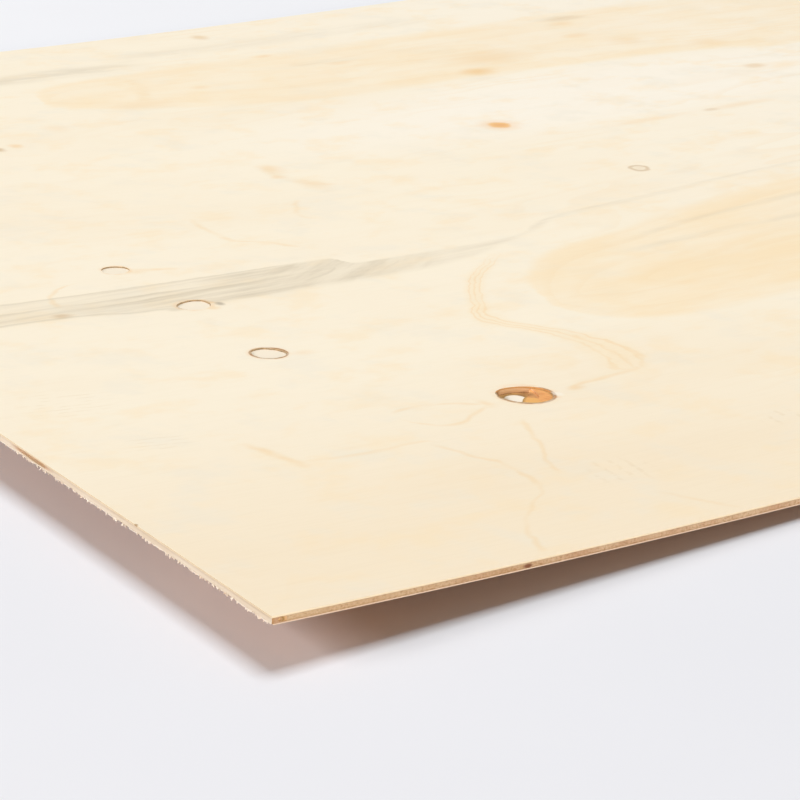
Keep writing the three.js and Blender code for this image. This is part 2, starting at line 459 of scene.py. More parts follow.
def face_figure(wood, spot, look):
    """Rings that the knife met at a slant: contours of a slow field, drawn out away from the near end."""
    along, across, _ = wood.parts(spot)
    spread = wood.calc("MULTIPLY_ADD", along, 0.35, 120)
    run = wood.calc("MULTIPLY_ADD", along, 1 / 520, wood.calc("DIVIDE", along, spread))
    field = wood.noise(wood.join(run, wood.calc("DIVIDE", across, 95)), (1, 1), 2, 0.45)
    late = wood.late_wood(wood.calc("MULTIPLY", field, 11), 0.30, 0.90, 0.92)
    patches = wood.noise(spot, (240, 120), 2, 0.5)
    shown = wood.product(
        wood.ease(patches, 0.42, 0.66),
        wood.ease(along, 380, 700, 0.04, 0.13),
        wood.ease(along, 1000, 1500, 1, 2),
    )
    wood.coat(wood.product(late, shown), look.growth_line)


def heartwood(wood, spot, look):
    """Islands of heartwood. Two in one row share their edges, which cross where there is none."""
    along, across, _ = wood.parts(spot)
    patches = wood.ease(wood.noise(spot, (90, 38), 3, 0.55), 0.3, 0.7, 0.55, 1.15)
    tails = wood.noise(spot, (300, 26), 3, 0.6)
    waver = wood.product(wood.even(tails, 0.3, 0.7, -34, 26), wood.ease(along, 1000, 1300))
    rows = [  # top edge, bottom edge, and strength in the heart and at the rim
        (
            [(417, 330), (426, 350), (439, 391), (461, 419), (489, 441), (522, 453), (578, 464), (667, 486),
             (778, 505), (900, 504), (1050, 478), (1150, 428), (1210, 372), (1220, 352), (1280, 545),
             (1330, 608), (1440, 652), (1620, 688), (1820, 694), (1970, 668), (2060, 626), (2100, 580)],
            [(417, 352), (427, 326), (432, 309), (444, 296), (472, 281), (506, 275), (560, 279), (620, 276),
             (760, 262), (900, 264), (1050, 290), (1150, 326), (1205, 370), (1220, 392), (1280, 575),
             (1335, 516), (1460, 476), (1660, 455), (1860, 474), (2000, 522), (2060, 562), (2100, 612)],
            0.54, 0.60,
        ),
        (
            [(497, 348), (505, 366), (533, 395), (567, 402), (622, 403), (700, 406), (900, 400), (980, 372),
             (990, 350)],
            [(497, 362), (506, 340), (522, 318), (556, 301), (620, 293), (760, 290), (900, 308), (980, 352),
             (990, 372)],
            0.55, 0.35,
        ),
        (
            [(386, 1000), (394, 1012), (400, 1042), (417, 1066), (444, 1077), (520, 1085), (667, 1091),
             (900, 1090), (1150, 1082), (1350, 1056), (1500, 1004), (1580, 930), (1950, 960), (2030, 1040),
             (2180, 1075), (2439, 1092)],
            [(386, 1020), (395, 1000), (411, 981), (444, 962), (500, 937), (556, 920), (622, 906),
             (780, 902), (944, 887), (1022, 873), (1100, 850), (1250, 838), (1400, 862), (1500, 910),
             (1580, 985), (1950, 1000), (2040, 926), (2200, 896), (2439, 886)],
            0.40, 0.52,
        ),
    ]
    for top, bottom, heart, rim in rows:
        depth = wood.calc("ADD", wood.least(*wood.within(along, across, top, bottom)), waver)
        strength = wood.product(wood.ease(depth, 50, 12, heart, rim), patches)
        wood.coat(wood.product(wood.ease(depth, -3, 13), strength), look.heartwood)
        late = wood.late_wood(wood.calc("DIVIDE", depth, 31), 0.45, 0.95, 0.95)
        wood.coat(wood.product(late, wood.ease(depth, 0, 9, 0, 0.20), strength), look.growth_line)


def stain_band(wood, spot, look):
    """Long grey band of stain, in strands that slant where it runs out."""
    along, across, _ = wood.parts(spot)
    top = [(0, 508), (182, 505), (300, 505), (351, 505), (358, 500), (363, 488), (370, 486), (482, 485),
           (526, 501), (560, 515), (650, 524), (800, 536), (900, 540)]
    bottom = [(0, 463), (91, 465), (136, 463), (176, 455), (241, 450), (377, 450), (430, 455), (482, 474),
              (526, 491), (560, 507), (650, 516), (800, 529), (900, 535)]
    strength = [(0, 0.75), (110, 0.8), (190, 1), (320, 1), (400, 0.75), (455, 0.5), (540, 0.6), (650, 0.5),
                (800, 0.36), (900, 0)]
    dirty_edge = [(60, 464), (110, 466), (150, 463), (176, 456), (198, 454), (212, 449)]
    over, under = wood.within(along, across, top, bottom)
    band = wood.product(wood.ease(over, -1.5, 3.5), wood.ease(under, -4, 8))
    streaks = wood.noise(spot, (120, 7.5), 4, 0.6, math.radians(2))
    strands = wood.noise(spot, (70, 13), 3, 0.6, math.radians(31))
    slant = wood.product(wood.swell(along, 262, 330, 405, 470), 0.7)
    drawn = wood.step("ShaderNodeMix", {0: slant, 2: streaks, 3: strands}, data_type="FLOAT").outputs[0]
    density = wood.ease(drawn, 0.32, 0.82, 0.26, 0.86)
    strip = wood.most(wood.ease(wood.gap(across, 495), 3, 9), wood.ease(along, 215, 270), 0.45)
    lines = [
        wood.product(band, wood.curve(along, strength), density, strip),
        wood.trace(along, across, [(60, 507), (182, 505), (358, 504)], 3.2, 0.50, 60),
        wood.trace(along, across, dirty_edge, 3.6, 0.55),
        wood.trace(along, across, [(300, 464), (318, 468), (345, 482), (360, 501)], 4, 0.62, 16),
        wood.trace(along, across, [(366, 461), (385, 470), (402, 484)], 4.4, 0.42),
        wood.trace(along, across, [(118, 487), (150, 484), (200, 482)], 4.4, 0.28, 30),
        wood.dab(spot, (203.5, 451), (7, 6), 1.2, 0.3, 0.50),
    ]
    wood.coat(wood.most(*lines), look.blue_stain)
    wood.coat(wood.dab(spot, (132, 469), (9, 6), 1.2, 0.1, 0.45), look.knot_rim)


def grey_streaks(wood, spot, look):
    """Thin streaks of stain away from the main band."""
    along, across, _ = wood.parts(spot)
    routes = [
        ([(526, 411), (600, 418), (680, 420), (760, 416)], 8, 0.24),
        ([(545, 432), (640, 452), (740, 462), (840, 466)], 7, 0.24),
        ([(330, 1104), (414, 1108), (464, 1113), (494, 1110), (560, 1100)], 26, 0.46),
        ([(494, 1114), (523, 1129), (595, 1141), (654, 1137), (760, 1139), (900, 1128)], 28, 0.20),
        ([(640, 1040), (690, 1030), (740, 1030)], 13, 0.30),
        ([(940, 1076), (967, 1066), (988, 1065), (1022, 1050)], 13, 0.44),
        ([(1480, 322), (1700, 300), (1950, 306), (2200, 330), (2439, 338)], 20, 0.50),
        ([(1820, 915), (1960, 935), (2140, 930), (2300, 948)], 11, 0.30),
    ]
    broken = wood.ease(wood.noise(spot, (90, 17), 3, 0.6), 0.30, 0.60, 0.25, 1)
    lines = [wood.trace(along, across, *route, 60) for route in routes]
    wood.coat(wood.product(wood.most(*lines), broken), look.blue_stain)


def ring_bundle(wood, spot, look):
    """Close rings that sweep from the stain to the big knot, between two drawn sides."""
    along, across, _ = wood.parts(spot)
    left = [(206, 392), (220, 380), (234, 386), (256, 391), (281, 389), (302, 382), (320, 371), (338, 364),
            (350, 368), (365, 377), (388, 391), (413, 409), (438, 436), (455, 456)]
    right = [(206, 396), (215, 399), (229, 406), (252, 409), (275, 405), (293, 398), (311, 387), (329, 377),
             (343, 375), (356, 381), (379, 394), (402, 409), (420, 425), (438, 448), (455, 466)]
    left_side = wood.curve(across, left)
    width = wood.calc("SUBTRACT", wood.curve(across, right), left_side)
    through = wood.calc("DIVIDE", wood.calc("SUBTRACT", along, left_side), width)
    shown = wood.swell(across, 202, 232, 420, 466)
    wood.coat(wood.product(wood.swell(through, -0.8, 0.3, 0.7, 1.8), shown, 0.42), look.heartwood)
    sway = wood.calc("SUBTRACT", wood.noise(spot, (14, 26), 2, 0.6), 0.5)
    swayed = wood.calc("MULTIPLY_ADD", sway, 0.7, through)
    from_line = wood.calc("PINGPONG", wood.calc("MULTIPLY", swayed, 2), 0.5)
    inside = wood.product(wood.swell(through, -0.35, -0.1, 1.1, 1.35), shown)
    lines = wood.product(wood.ease(from_line, 0.30, 0), inside)
    worn = wood.ease(wood.noise(spot, (40, 44), 2, 0.5), 0.3, 0.65, 0.20, 0.42)
    wood.coat(wood.product(lines, worn), look.growth_line)


def growth_lines(wood, spot, look):
    """Single rings that stand out, most of them bent round the knots."""
    along, across, _ = wood.parts(spot)
    crosswise = [
        ([(160, 125), (180, 120), (200, 115), (216, 110)], 6, 0.42),
        ([(2, 162), (34, 174), (61, 197), (84, 219), (115, 221), (140, 212), (166, 204)], 3.4, 0.32),
        ([(90, 240), (110, 244), (130, 256), (152, 265), (176, 275)], 3.4, 0.30),
        ([(0, 296), (20, 282), (46, 268)], 4, 0.32),
        ([(534, 354), (561, 336), (579, 318), (611, 318), (640, 322)], 5, 0.30),
        ([(590, 408), (606, 397), (622, 402), (648, 420)], 4.4, 0.28),
        ([(482, 139), (505, 142), (524, 158), (536, 190)], 4, 0.34),
        ([(664, 470), (690, 448), (714, 443), (750, 449)], 10, 0.26),
        ([(975, 471), (1012, 489), (1040, 497), (1064, 503)], 11, 0.26),
        ([(192, 272), (207, 272), (217, 268)], 4.6, 0.30),
    ]
    lengthwise = [
        ([(326, 201), (341, 206), (364, 209), (391, 212), (402, 217)], 4, 0.40),
        ([(120, 173), (135, 171), (164, 168), (195, 170), (212, 160)], 3.2, 0.26),
        ([(210, 212), (216, 218), (232, 220), (252, 215), (273, 203)], 3.2, 0.32),
        ([(210, 212), (221, 191), (237, 184), (253, 192), (273, 202)], 3.2, 0.34),
        ([(220, 543), (240, 535), (256, 530)], 5, 0.36),
        ([(229, 454), (233, 453), (237, 447)], 2.6, 0.60),
    ]
    lines = [wood.trace(across, along, *route) for route in crosswise]
    lines += [wood.trace(along, across, *route) for route in lengthwise]
    worn = wood.ease(wood.noise(wood.spot, (34, 30), 2, 0.6), 0.30, 0.62, 0.35, 1.1)
    wood.coat(wood.product(wood.most(*lines), worn), look.growth_line)


def sound_knots(wood, spot, look):
    """Tight knots with orange hearts."""
    knots = [
        ((684, 755), (10.2, 11.2)),
        ((1395, 252), (13, 11)),
        ((1424, 612), (10, 9)),
        ((2052, 162), (11, 9.5)),
        ((2078, 486), (13.5, 12)),
        ((2040, 842), (9, 8.5)),
    ]
    out = wood.least(*[wood.radius(spot, *knot) for knot in knots])
    wood.coat(wood.ease(out, 2.3, 0.8, 0, 0.30), look.knot_wood)
    wood.coat(wood.ease(out, 1.12, 0.60, 0, 0.90), look.knot_wood)
    wood.coat(wood.ease(out, 0.75, 0.1, 0, 0.25), look.knot_heart)


def faint_knots(wood, spot, look):
    """Small or half-hidden knots and pitch spots."""
    rings = [
        ((695, 585), (6.8, 7.6)),
        ((1388, 905), (11, 10)),
        ((1660, 344), (8, 7)),
        ((2232, 640), (9, 8)),
    ]
    smudges = [
        ((644, 1182), (9, 12), 0.26),
        ((867, 700), (9, 5), 0.30),
        ((290, 887), (6, 9), 0.60),
        ((985, 1060), (26, 11), 0.20),
        ((1007, 803), (12, 9), 0.24),
    ]
    spots = [
        ((783, 924), (19, 16), 0.66),
        ((826, 965), (46, 32), 0.34),
        ((466, 970), (34, 20), 0.22),
        ((541, 1003), (10, 8), 0.26),
        ((949, 994), (16, 9), 0.30),
        ((974, 950), (22, 22), 0.22),
        ((1034, 899), (20, 18), 0.22),
        ((969, 1044), (16, 9), 0.34),
        ((644, 1182), (10, 13), 0.26),
        ((653, 1081), (11, 7), 0.36),
        ((698, 1020), (16, 8), 0.24),
        ((308, 891), (6, 8), 0.50),
        ((440, 709), (7, 6), 0.34),
        ((448, 731), (11, 17), 0.24),
        ((452, 675), (12, 20), 0.20),
        ((364, 930), (12, 16), 0.18),
        ((1007, 803), (12, 11), 0.24),
        ((800, 702), (48, 7), 0.20),
        ((900, 700), (40, 8), 0.24),
        ((336, 202), (7, 4.5), 0.40),
        ((229, 336), (9, 6), 0.20),
        ((227, 442), (5, 4.5), 0.40),
        ((222, 538), (9, 7), 0.22),
        ((1760, 1012), (15, 12), 0.40),
        ((1560, 124), (13, 10), 0.40),
        ((2306, 250), (14, 11), 0.40),
    ]
    out = wood.least(*[wood.radius(spot, *ring) for ring in rings])
    rim = wood.product(wood.ease(out, 0.45, 0.95), wood.ease(out, 1.45, 1, 0, 0.52))
    faint = [rim, wood.ease(out, 1.1, 0.2, 0, 0.16)]
    faint += [wood.dab(spot, *oval, 1.25, 0.2, strength) for *oval, strength in smudges]
    wood.coat(wood.most(*faint), look.knot_rim)
    soft = [wood.dab(spot, *oval, 1.35, 0, strength) for *oval, strength in spots]
    wood.coat(wood.most(*soft), look.pitch_spot)


def stained_rims(wood, look):
    """Resin and dirt drawn into the face round the knot holes, and the brown wood of their walls. A thin
    dark line of bark colour runs outside the rims; along the deep knot's near rim it is also painted shade
    of the gap.
    """
    spot = wood.spot
    uneven = wood.ease(wood.noise(spot, (8, 8), 2, 0.6), 0.35, 0.65, 0.2, 1)
    outs = [wood.radius(spot, *hole) for hole in KNOT_HOLES.values()]
    _, ringed, _, deep = outs
    out = wood.least(*outs)
    wood.coat(wood.product(wood.ease(out, 1.36, 1.02, 0, 0.34), uneven), look.knot_wood)
    near_side = wood.ease(wood.parts(spot)[ACROSS], 212, 222)
    # painted shade: the line round the ringed knot is bark; on the deep knot's near side only, it stands
    # for the gap's shade
    bark_and_shade_rim = wood.least(ringed, wood.calc("ADD", deep, near_side))
    bark_and_shade_rim = wood.product(wood.ease(bark_and_shade_rim, 1.13, 1.05, 0, 0.92), wood.even(uneven, 0.2, 1, 0.6, 1))
    wood.coat(bark_and_shade_rim, look.rim_bark_and_shade)
    wood.coat(wood.dab(spot, (235.2, 448.4), (3.2, 4.4), 1.4, 0.2, 0.62), look.stain_dirt)
    wood.coat(wood.dab(spot, (319, 199), (3.4, 5), 1.2, 0.5, 0.5, 0.4), look.white_wood)
    wood.coat(wood.dab(spot, (314, 194.8), (2.8, 0.9), 1.4, 0.2, 0.45, -0.6), look.knot_heart)
    upright = wood.ease(wood.facing[UP], *UPRIGHT)
    wood.coat(wood.product(upright, wood.ease(out, 1.2, 1.08)), look.hole_wall)


def lathe_chatter(wood, spot):
    """Share of the short parallel ticks that the peeling knife leaves in patches."""
    along, across, _ = wood.parts(spot)
    lengthwise = [((56, 314), (40, 34)), ((70, 234), (28, 18))]
    crosswise = [((270, 80), (30, 26)), ((410, 98), (22, 22))]
    ticks = []
    for patches, run, other, lean, pitch in (
        (lengthwise, across, along, 0.16, 5.6),
        (crosswise, along, across, -0.12, 9),
    ):
        shown = wood.most(*[wood.dab(wood.spot, *patch, 1, 0.3) for patch in patches])
        slanted = wood.calc("MULTIPLY_ADD", other, lean, run)
        wave = wood.calc("SINE", wood.calc("MULTIPLY", slanted, 2 * math.pi / pitch))
        ticks.append(wood.product(wood.ease(wave, 0.2, 1), shown))
    broken = wood.ease(wood.noise(wood.spot, (11, 5), 1, 0.5), 0.40, 0.62)
    return wood.product(wood.most(*ticks), broken)


def sawn_edge(wood, look):
    """Edge of the face veneer, where the saw cut square through it. The long sides are painted paler,
    partly a painted highlight along the arris.
    """
    upright = wood.ease(wood.facing[UP], *UPRIGHT)
    wood.coat(wood.product(upright, wood.faces(ALONG, *SQUARE)), look.sawn_end)
    wood.coat(wood.product(upright, wood.faces(ACROSS, *SQUARE)), look.sawn_side_and_highlight)
    wood.coat(wood.dab(wood.spot, (0, 131.2), (1.2, 1.5), 1.2, 0.7, 0.75), look.chipped_edge)


def face_finish(look):
    wood = new_wood("rotary_cut_pine_face")
    slow = wood.wander((90, 45), (16, 9))
    fine = wood.wander((15, 10), (4.5, 2.6))
    plain_wood(wood, look)
    for draw in (mottle, face_figure):
        draw(wood, slow, look)
    for draw in (heartwood, ring_bundle, growth_lines, grey_streaks, stain_band, faint_knots, sound_knots):
        draw(wood, fine, look)

    fibres = wood.noise(wood.spot, (46, 2), 3, 0.65)
    wood.darken(wood.ease(fibres, 0.40, 0.74, 0, look.grain_contrast), (0.965, 0.955, 0.935))
    wood.darken(lathe_chatter(wood, fine), (0.955, 0.935, 0.90))
    sawn_edge(wood, look)
    stained_rims(wood, look)
    return wood.finish(wood.even(fibres, 0, 1, 0.56, 0.70), fibres, depth=0.05)


# Core and back


def end_grain(wood, look, along, level):
    """The core's fibres, cut across along the long sides, with a small knot and a bark pocket."""
    bands = wood.noise(wood.spot, (34, 400), 2, 0.6)
    wood.base = wood.blend(wood.ease(bands, 0.35, 0.65), look.end_grain, look.end_band)
    tubes = wood.noise(wood.spot, (0.8, 30, 2.4), 2, 0.7)
    wood.darken(wood.ease(tubes, 0.38, 0.68), (0.82, 0.76, 0.70))
    pores = wood.noise(wood.spot, (2, 30, 0.9), 2, 0.7)
    wood.coat(wood.ease(along, 220, 10, 0, 0.45), look.fresh_end)
    glue = wood.ease(wood.gap(level, 1), 0.7, 0.1, 0, 0.55)
    wood.coat(wood.product(glue, wood.ease(pores, 0.35, 0.60)), look.dark_pitch)
    wood.coat(wood.ease(pores, 0.52, 0.68, 0, 0.7), look.pores)
    place = wood.join(along, level)
    beside = wood.dab(place, (142, 1.8), (20, 2), 1.2, 0.3, 0.45)
    wood.coat(wood.product(beside, wood.ease(pores, 0.40, 0.60, 0.4, 1)), look.dark_pitch)
    wood.coat(wood.dab(place, (148.8, 1.9), (3.4, 1.4), 1.15, 0.4, 0.85), look.edge_knot)
    wood.coat(wood.ease(along, 7.6, 5.4, 0, 0.8), look.stained_wood)
    wood.coat(wood.ease(along, 1.8, 0.4, 0, 0.5), look.dark_pitch)
    wood.coat(wood.dab(place, (7.2, 2.2), (1.3, 1.6), 1.3, 0.5, 0.32), look.gold)
    wood.coat(wood.dab(place, (5.4, 2.2), (1.5, 1.3), 1.2, 0.7), look.old_glue_and_shade)


def side_grain(wood, look, grain, across, level):
    """The core along its fibres, as its ends show it, stained round the pocket in the near end."""
    slow = wood.noise(wood.spot, (60, 48), 2, 0.6)
    wood.base = look.side_grain
    wood.darken(wood.ease(slow, 0.35, 0.65), (0.95, 0.93, 0.90))
    wood.darken(wood.ease(grain, 0.4, 0.75), (0.92, 0.88, 0.83))
    seam = wood.product(wood.ease(level, 1.9, 2.9), wood.ease(across, 330, 70, 0.08, 0.17))
    wood.coat(seam, look.old_glue_and_shade)
    streaks = wood.noise(wood.spot, (30, 7, 0.9), 3, 0.65)
    run = wood.dab(wood.join(across, level), (247, 2.6), (25, 1.5), 1.15, 0.55)
    wood.coat(wood.product(run, wood.ease(streaks, 0.30, 0.50, 0.5, 1)), look.stained_wood)
    wood.coat(wood.product(run, wood.ease(streaks, 0.44, 0.34, 0, 0.5)), look.pitch)
    wood.coat(wood.product(run, wood.ease(streaks, 0.52, 0.66)), look.pocket)


def broken_pitch(wood, look, level):
    """Resin-soaked core in the deep knot: orange on top, brown where it snapped off and chipped. Its walls
    are painted paler as painted light; the chip's depths, the snapped edge and the rim's foot carry painted
    shade.
    """
    spot = wood.spot
    along, across, _ = wood.parts(spot)
    streaks = wood.noise(spot, (2.6, 7, 1.4), 3, 0.65, 0.5)
    wood.base = wood.blend(wood.ease(streaks, 0.36, 0.62), look.pitch, look.clear_pitch)
    wood.coat(wood.ease(streaks, 0.56, 0.72, 0, 0.6), look.dark_pitch)
    from_chip = wood.radius(spot, (306.5, 207.6), (7.5, 6.5))
    # painted light: upright faces of the core take a paler wood, lifting the shade on the walls of the deep
    # knot
    wall = wood.product(wood.faces(UP, *UPRIGHT), wood.ease(from_chip, 0.9, 1.4, 0.75, 1))
    wood.coat(wall, look.lit_broken_wall)
    wood.coat(wood.dab(spot, (299, 198.5), (6.5, 6.5), 1.2, 0.6, 0.9), look.gold)
    # painted shade: the chip's brown grows stronger the deeper its floor lies
    chipped = wood.product(
        wood.ease(from_chip, 1.3, 0.5),
        wood.ease(level, 3.7, 2.6, 0.45, 1),
        wood.ease(streaks, 0.30, 0.60, 0.5, 1),
    )
    wood.coat(chipped, look.chip_floor_and_shade)
    # painted shade: dark spot at the bottom of the chip, partly bark
    wood.coat(wood.dab(spot, (306.4, 210.4), (4.2, 2.8), 1.3, 0.2, 0.55), look.bark_and_depth_shade)
    # painted shade: a dark line along the snapped edge stands in for the shaded wall of the splinter
    break_line = [(186, 290), (197.9, 293.3), (202.1, 296.8), (205.4, 301)]
    snapped = wood.trace(across, along, break_line, 2.8, 0.85, 1.5)
    open_sides = wood.most(wood.ease(across, 208, 200), wood.ease(along, 307, 313))
    # painted shade: a dark band on the core's top just inside the rim, on the near and right sides, stands
    # for the shade at the rim's foot
    rim_foot_shade = wood.ease(wood.radius(spot, *DEEP_KNOT), 0.84, 0.98, 0, 0.55)
    rim_foot_shade = wood.product(rim_foot_shade, wood.ease(level, 3, 3.4), open_sides)
    wood.coat(wood.most(snapped, rim_foot_shade), look.old_glue_and_shade)
    # painted shade: dark spot in the hole's left tip, partly bark
    wood.coat(wood.dab(spot, (289, 218), (5.5, 5.5), 1.3, 0.5, 0.85), look.bark_and_depth_shade)


def core_finish(look):
    wood = new_wood("cross_band_core")
    along, across, _ = wood.parts(wood.spot)
    level = wood.level()
    grain = wood.noise(wood.spot, (1.3, 45, 0.9), 3, 0.65)
    side_grain(wood, look, grain, across, level)
    wood.coat(wood.ease(wood.facing[UP], 0.4, 0.8), look.knot_floor)
    near_side = wood.product(wood.faces(ACROSS, 0.5, 0.8), wood.ease(across, 20, 10))
    wood.inlay(wood.most(near_side, wood.faces(ACROSS, *SQUARE)), end_grain, look, along, level)
    soaked = wood.dab(wood.spot, DEEP_KNOT[0], (23, 22), 1.1, 0.95)
    wood.inlay(soaked, broken_pitch, look, level)
    # painted light: the insides of both pockets take the pale pocket wall, standing in for light in their
    # shade
    in_edge = wood.product(
        wood.ease(wood.gap(along, BARK_POCKET), 1.6, 1.3),
        wood.ease(across, 0.02, 0.08),
        wood.ease(across, 3, 2),
    )
    in_end = wood.product(
        wood.ease(wood.gap(across, END_POCKET), 16, 15),
        wood.ease(along, 0.02, 0.1),
        wood.ease(along, 6, 5, 0, 0.75),
    )
    wood.coat(wood.most(in_edge, in_end), look.lit_pocket_wall)
    return wood.finish(wood.even(grain, 0, 1, 0.70, 0.85), grain, depth=0.08, specular=0.2)


def back_in_knot(wood, look):
    """Inner face of the back veneer in the deep knot: bare wood, with a dark ring of glue and painted shade
    at the foot of the wall, pitch beyond it, and painted shade in its deepest corners.
    """
    out = wood.radius(wood.spot, (298.4, 212.5), (6.6, 6.6))
    # painted shade: the dark ring round the bare wood lies at the foot of the hole's wall, partly glue
    wood.base = wood.blend(wood.ease(out, 0.90, 1.04), look.back_inside, look.old_glue_and_shade)
    wood.coat(wood.ease(out, 1.10, 1.60), look.glue_ledge)
    # painted shade: dark spot in the hole's left tip, partly glue
    wood.coat(wood.dab(wood.spot, (289.5, 217.5), (6.5, 6.5), 1.2, 0.4, 0.7), look.old_glue_and_shade)
    # painted shade: dark spot on the back's inner face beside the splinter, partly bark
    wood.coat(wood.dab(wood.spot, (308.5, 216.5), (5.5, 4.5), 1.3, 0.3, 0.65), look.bark_and_depth_shade)


def back_finish(look):
    wood = new_wood("rough_pine_back")
    slow = wood.wander((110, 40), (20, 9))
    clouds = wood.noise(slow, (380, 90), 3, 0.55)
    wood.base = wood.blend(wood.ease(clouds, 0.35, 0.65), look.back_wood, look.back_dark)
    field = wood.noise(slow, (520, 90), 1.5, 0.45)
    late = wood.late_wood(wood.calc("MULTIPLY", field, 11), 0.4, 0.9, 0.94)
    wood.coat(wood.product(late, 0.35), look.back_ring)
    knots = [
        ((520, 300), (12, 11)),
        ((498, 812), (14, 12)),
        ((1490, 520), (11, 10)),
        ((1512, 1010), (13, 12)),
        ((2110, 240), (12, 10)),
        ((2086, 700), (15, 13)),
    ]
    for knot in knots:
        out = wood.radius(slow, *knot)
        wood.coat(wood.ease(out, 1.9, 0.7, 0, 0.8), look.back_knot)
        wood.coat(wood.product(wood.swell(out, 0.8, 1, 1, 1.2), 0.7), look.edge_knot)
    fibres = wood.noise(wood.spot, (34, 1.2, 0.8), 4, 0.7)
    wood.darken(wood.ease(fibres, 0.42, 0.72), (0.86, 0.80, 0.74))

    wood.coat(wood.ease(wood.facing[UP], -0.6, -0.2), look.back_side)
    wood.coat(wood.faces(ALONG, 0.3, 0.6), look.torn_wood)
    wood.inlay(wood.ease(wood.facing[UP], 0.3, 0.7), back_in_knot, look)
    return wood.finish(wood.even(fibres, 0, 1, 0.75, 0.9), fibres, depth=0.16, specular=0.2)


def bark_finish(look):
    bark = new_wood("dry_bark")
    flakes = bark.noise(bark.spot, (4, 4, 0.9), 3, 0.7)
    bark.base = bark.blend(bark.ease(flakes, 0.38, 0.62), look.bark, look.bark_light)
    return bark.finish(0.85, flakes, depth=0.08, specular=0.2)


def torn_finish(look):
    wood = new_wood("torn_fibre")
    pale = wood.noise(wood.spot, (3, 9, 3), 2, 0.6)
    wood.base = wood.blend(wood.ease(pale, 0.35, 0.65), look.back_side, look.torn_wood)
    return wood.finish(0.8, pale, depth=0.03, specular=0.2)


# Modelling


def clear_selection():
    if bpy.context.mode != "OBJECT":
        bpy.ops.object.mode_set(mode="OBJECT")
    bpy.ops.object.select_all(action="DESELECT")


def pick(piece):
    """Leaves one object selected and active."""
    clear_selection()
    piece.select_set(True)
    bpy.context.view_layer.objects.active = piece


def place_in_scene(name, mesh):
    piece = bpy.data.objects.new(name, mesh)
    bpy.context.scene.collection.objects.link(piece)
    return piece


def paint(piece, material):
    """Gives every slot of a piece the one material."""
    if not piece.data.materials:
        piece.data.materials.append(material)
    for slot in piece.material_slots:
        slot.material = material


def hole_wall(name, centre, reach, start, sweep):
    """Copy of the part of a knot hole's wall that lies on an arc, given in degrees."""
    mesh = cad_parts["face_veneer"].data.copy()
    mesh.name = name
    piece = place_in_scene(name, mesh)
    pick(piece)
    bpy.ops.object.mode_set(mode="EDIT")
    bpy.ops.mesh.select_mode(type="FACE")
    bpy.ops.mesh.select_all(action="SELECT")
    bpy.ops.mesh.remove_doubles(threshold=0.01 * MM)
    bpy.ops.mesh.select_all(action="DESELECT")
    bpy.ops.object.mode_set(mode="OBJECT")
    for face in mesh.polygons:
        away = face.center.xy - centre
        angle = math.degrees(math.atan2(away.y, away.x)) % 360
        upright = abs(face.normal.z) < UPRIGHT[1]
        face.select = not (upright and away.length < reach and (angle - start) % 360 <= sweep)
    bpy.ops.object.mode_set(mode="EDIT")
    bpy.ops.mesh.delete(type="FACE")
    bpy.ops.object.mode_set(mode="OBJECT")
    return piece


def apply_all(piece):
    pick(piece)
    for modifier in list(piece.modifiers):
        bpy.ops.object.modifier_apply(modifier=modifier.name)


# Operators


class PLYWOOD_OT_finish_veneers(bpy.types.Operator):
    """Gives the face, core and back veneers their wood"""

    bl_idname = "plywood.finish_veneers"
    bl_label = "Finish Veneers"

    def execute(self, context):
        scene = context.scene
        paint(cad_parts["face_veneer"], face_finish(scene.plywood_face))
        paint(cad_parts["core_veneer"], core_finish(scene.plywood_core))
        paint(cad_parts["back_veneer"], back_finish(scene.plywood_core))
        return {"FINISHED"}


class PLYWOOD_OT_line_knot_holes(bpy.types.Operator):
    """Lines the knot holes of the face veneer with what is left of their bark"""

    bl_idname = "plywood.line_knot_holes"
    bl_label = "Line Knot Holes"

    def execute(self, context):
        look = context.scene.plywood_bark
        finish = bark_finish(look)
        left_over = {  # arc of the hole, in degrees, and how thick the bark is on it
            "stained_knot": ((330, 215), 1.7),
            "ringed_knot": ((0, 360), 1.6),
            "small_knot": ((330, 160), 0.65),
            "deep_knot": ((140, 345), 2),
        }
        for name, (place, half_size, _) in KNOT_HOLES.items():
            (start, end), fullness = left_over[name]
            sweep = (end - start) % 360 or 360
            centre = Vector((LOW.x + place[0] * MM, LOW.y + place[1] * MM))
            reach = max(half_size) * WALL_REACH * MM
            piece = hole_wall(f"bark_of_{name}", centre, reach, start, sweep)
            if not piece.data.polygons:
                raise RuntimeError(f"no wall was found for {piece.name}")
            self.weigh(piece, centre)
            wall = piece.modifiers.new("Wall", "SOLIDIFY")
            wall.thickness = look.thickness * fullness
            wall.offset = 1
            wall.vertex_group = "fullness"
            wall.thickness_vertex_group = 0.15
            apply_all(piece)
            piece.vertex_groups.clear()
            paint(piece, finish)
            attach(piece, "root")
        return {"FINISHED"}

    def weigh(self, piece, centre):
        """Makes the bark thick and thin round the hole."""
        group = piece.vertex_groups.new(name="fullness")
        for vertex in piece.data.vertices:
            away = vertex.co.xy - centre
            angle = math.atan2(away.y, away.x)
            weight = 0.5 + 0.3 * math.sin(3 * angle + 1) + 0.2 * math.sin(8 * angle)
            group.add([vertex.index], weight, "REPLACE")


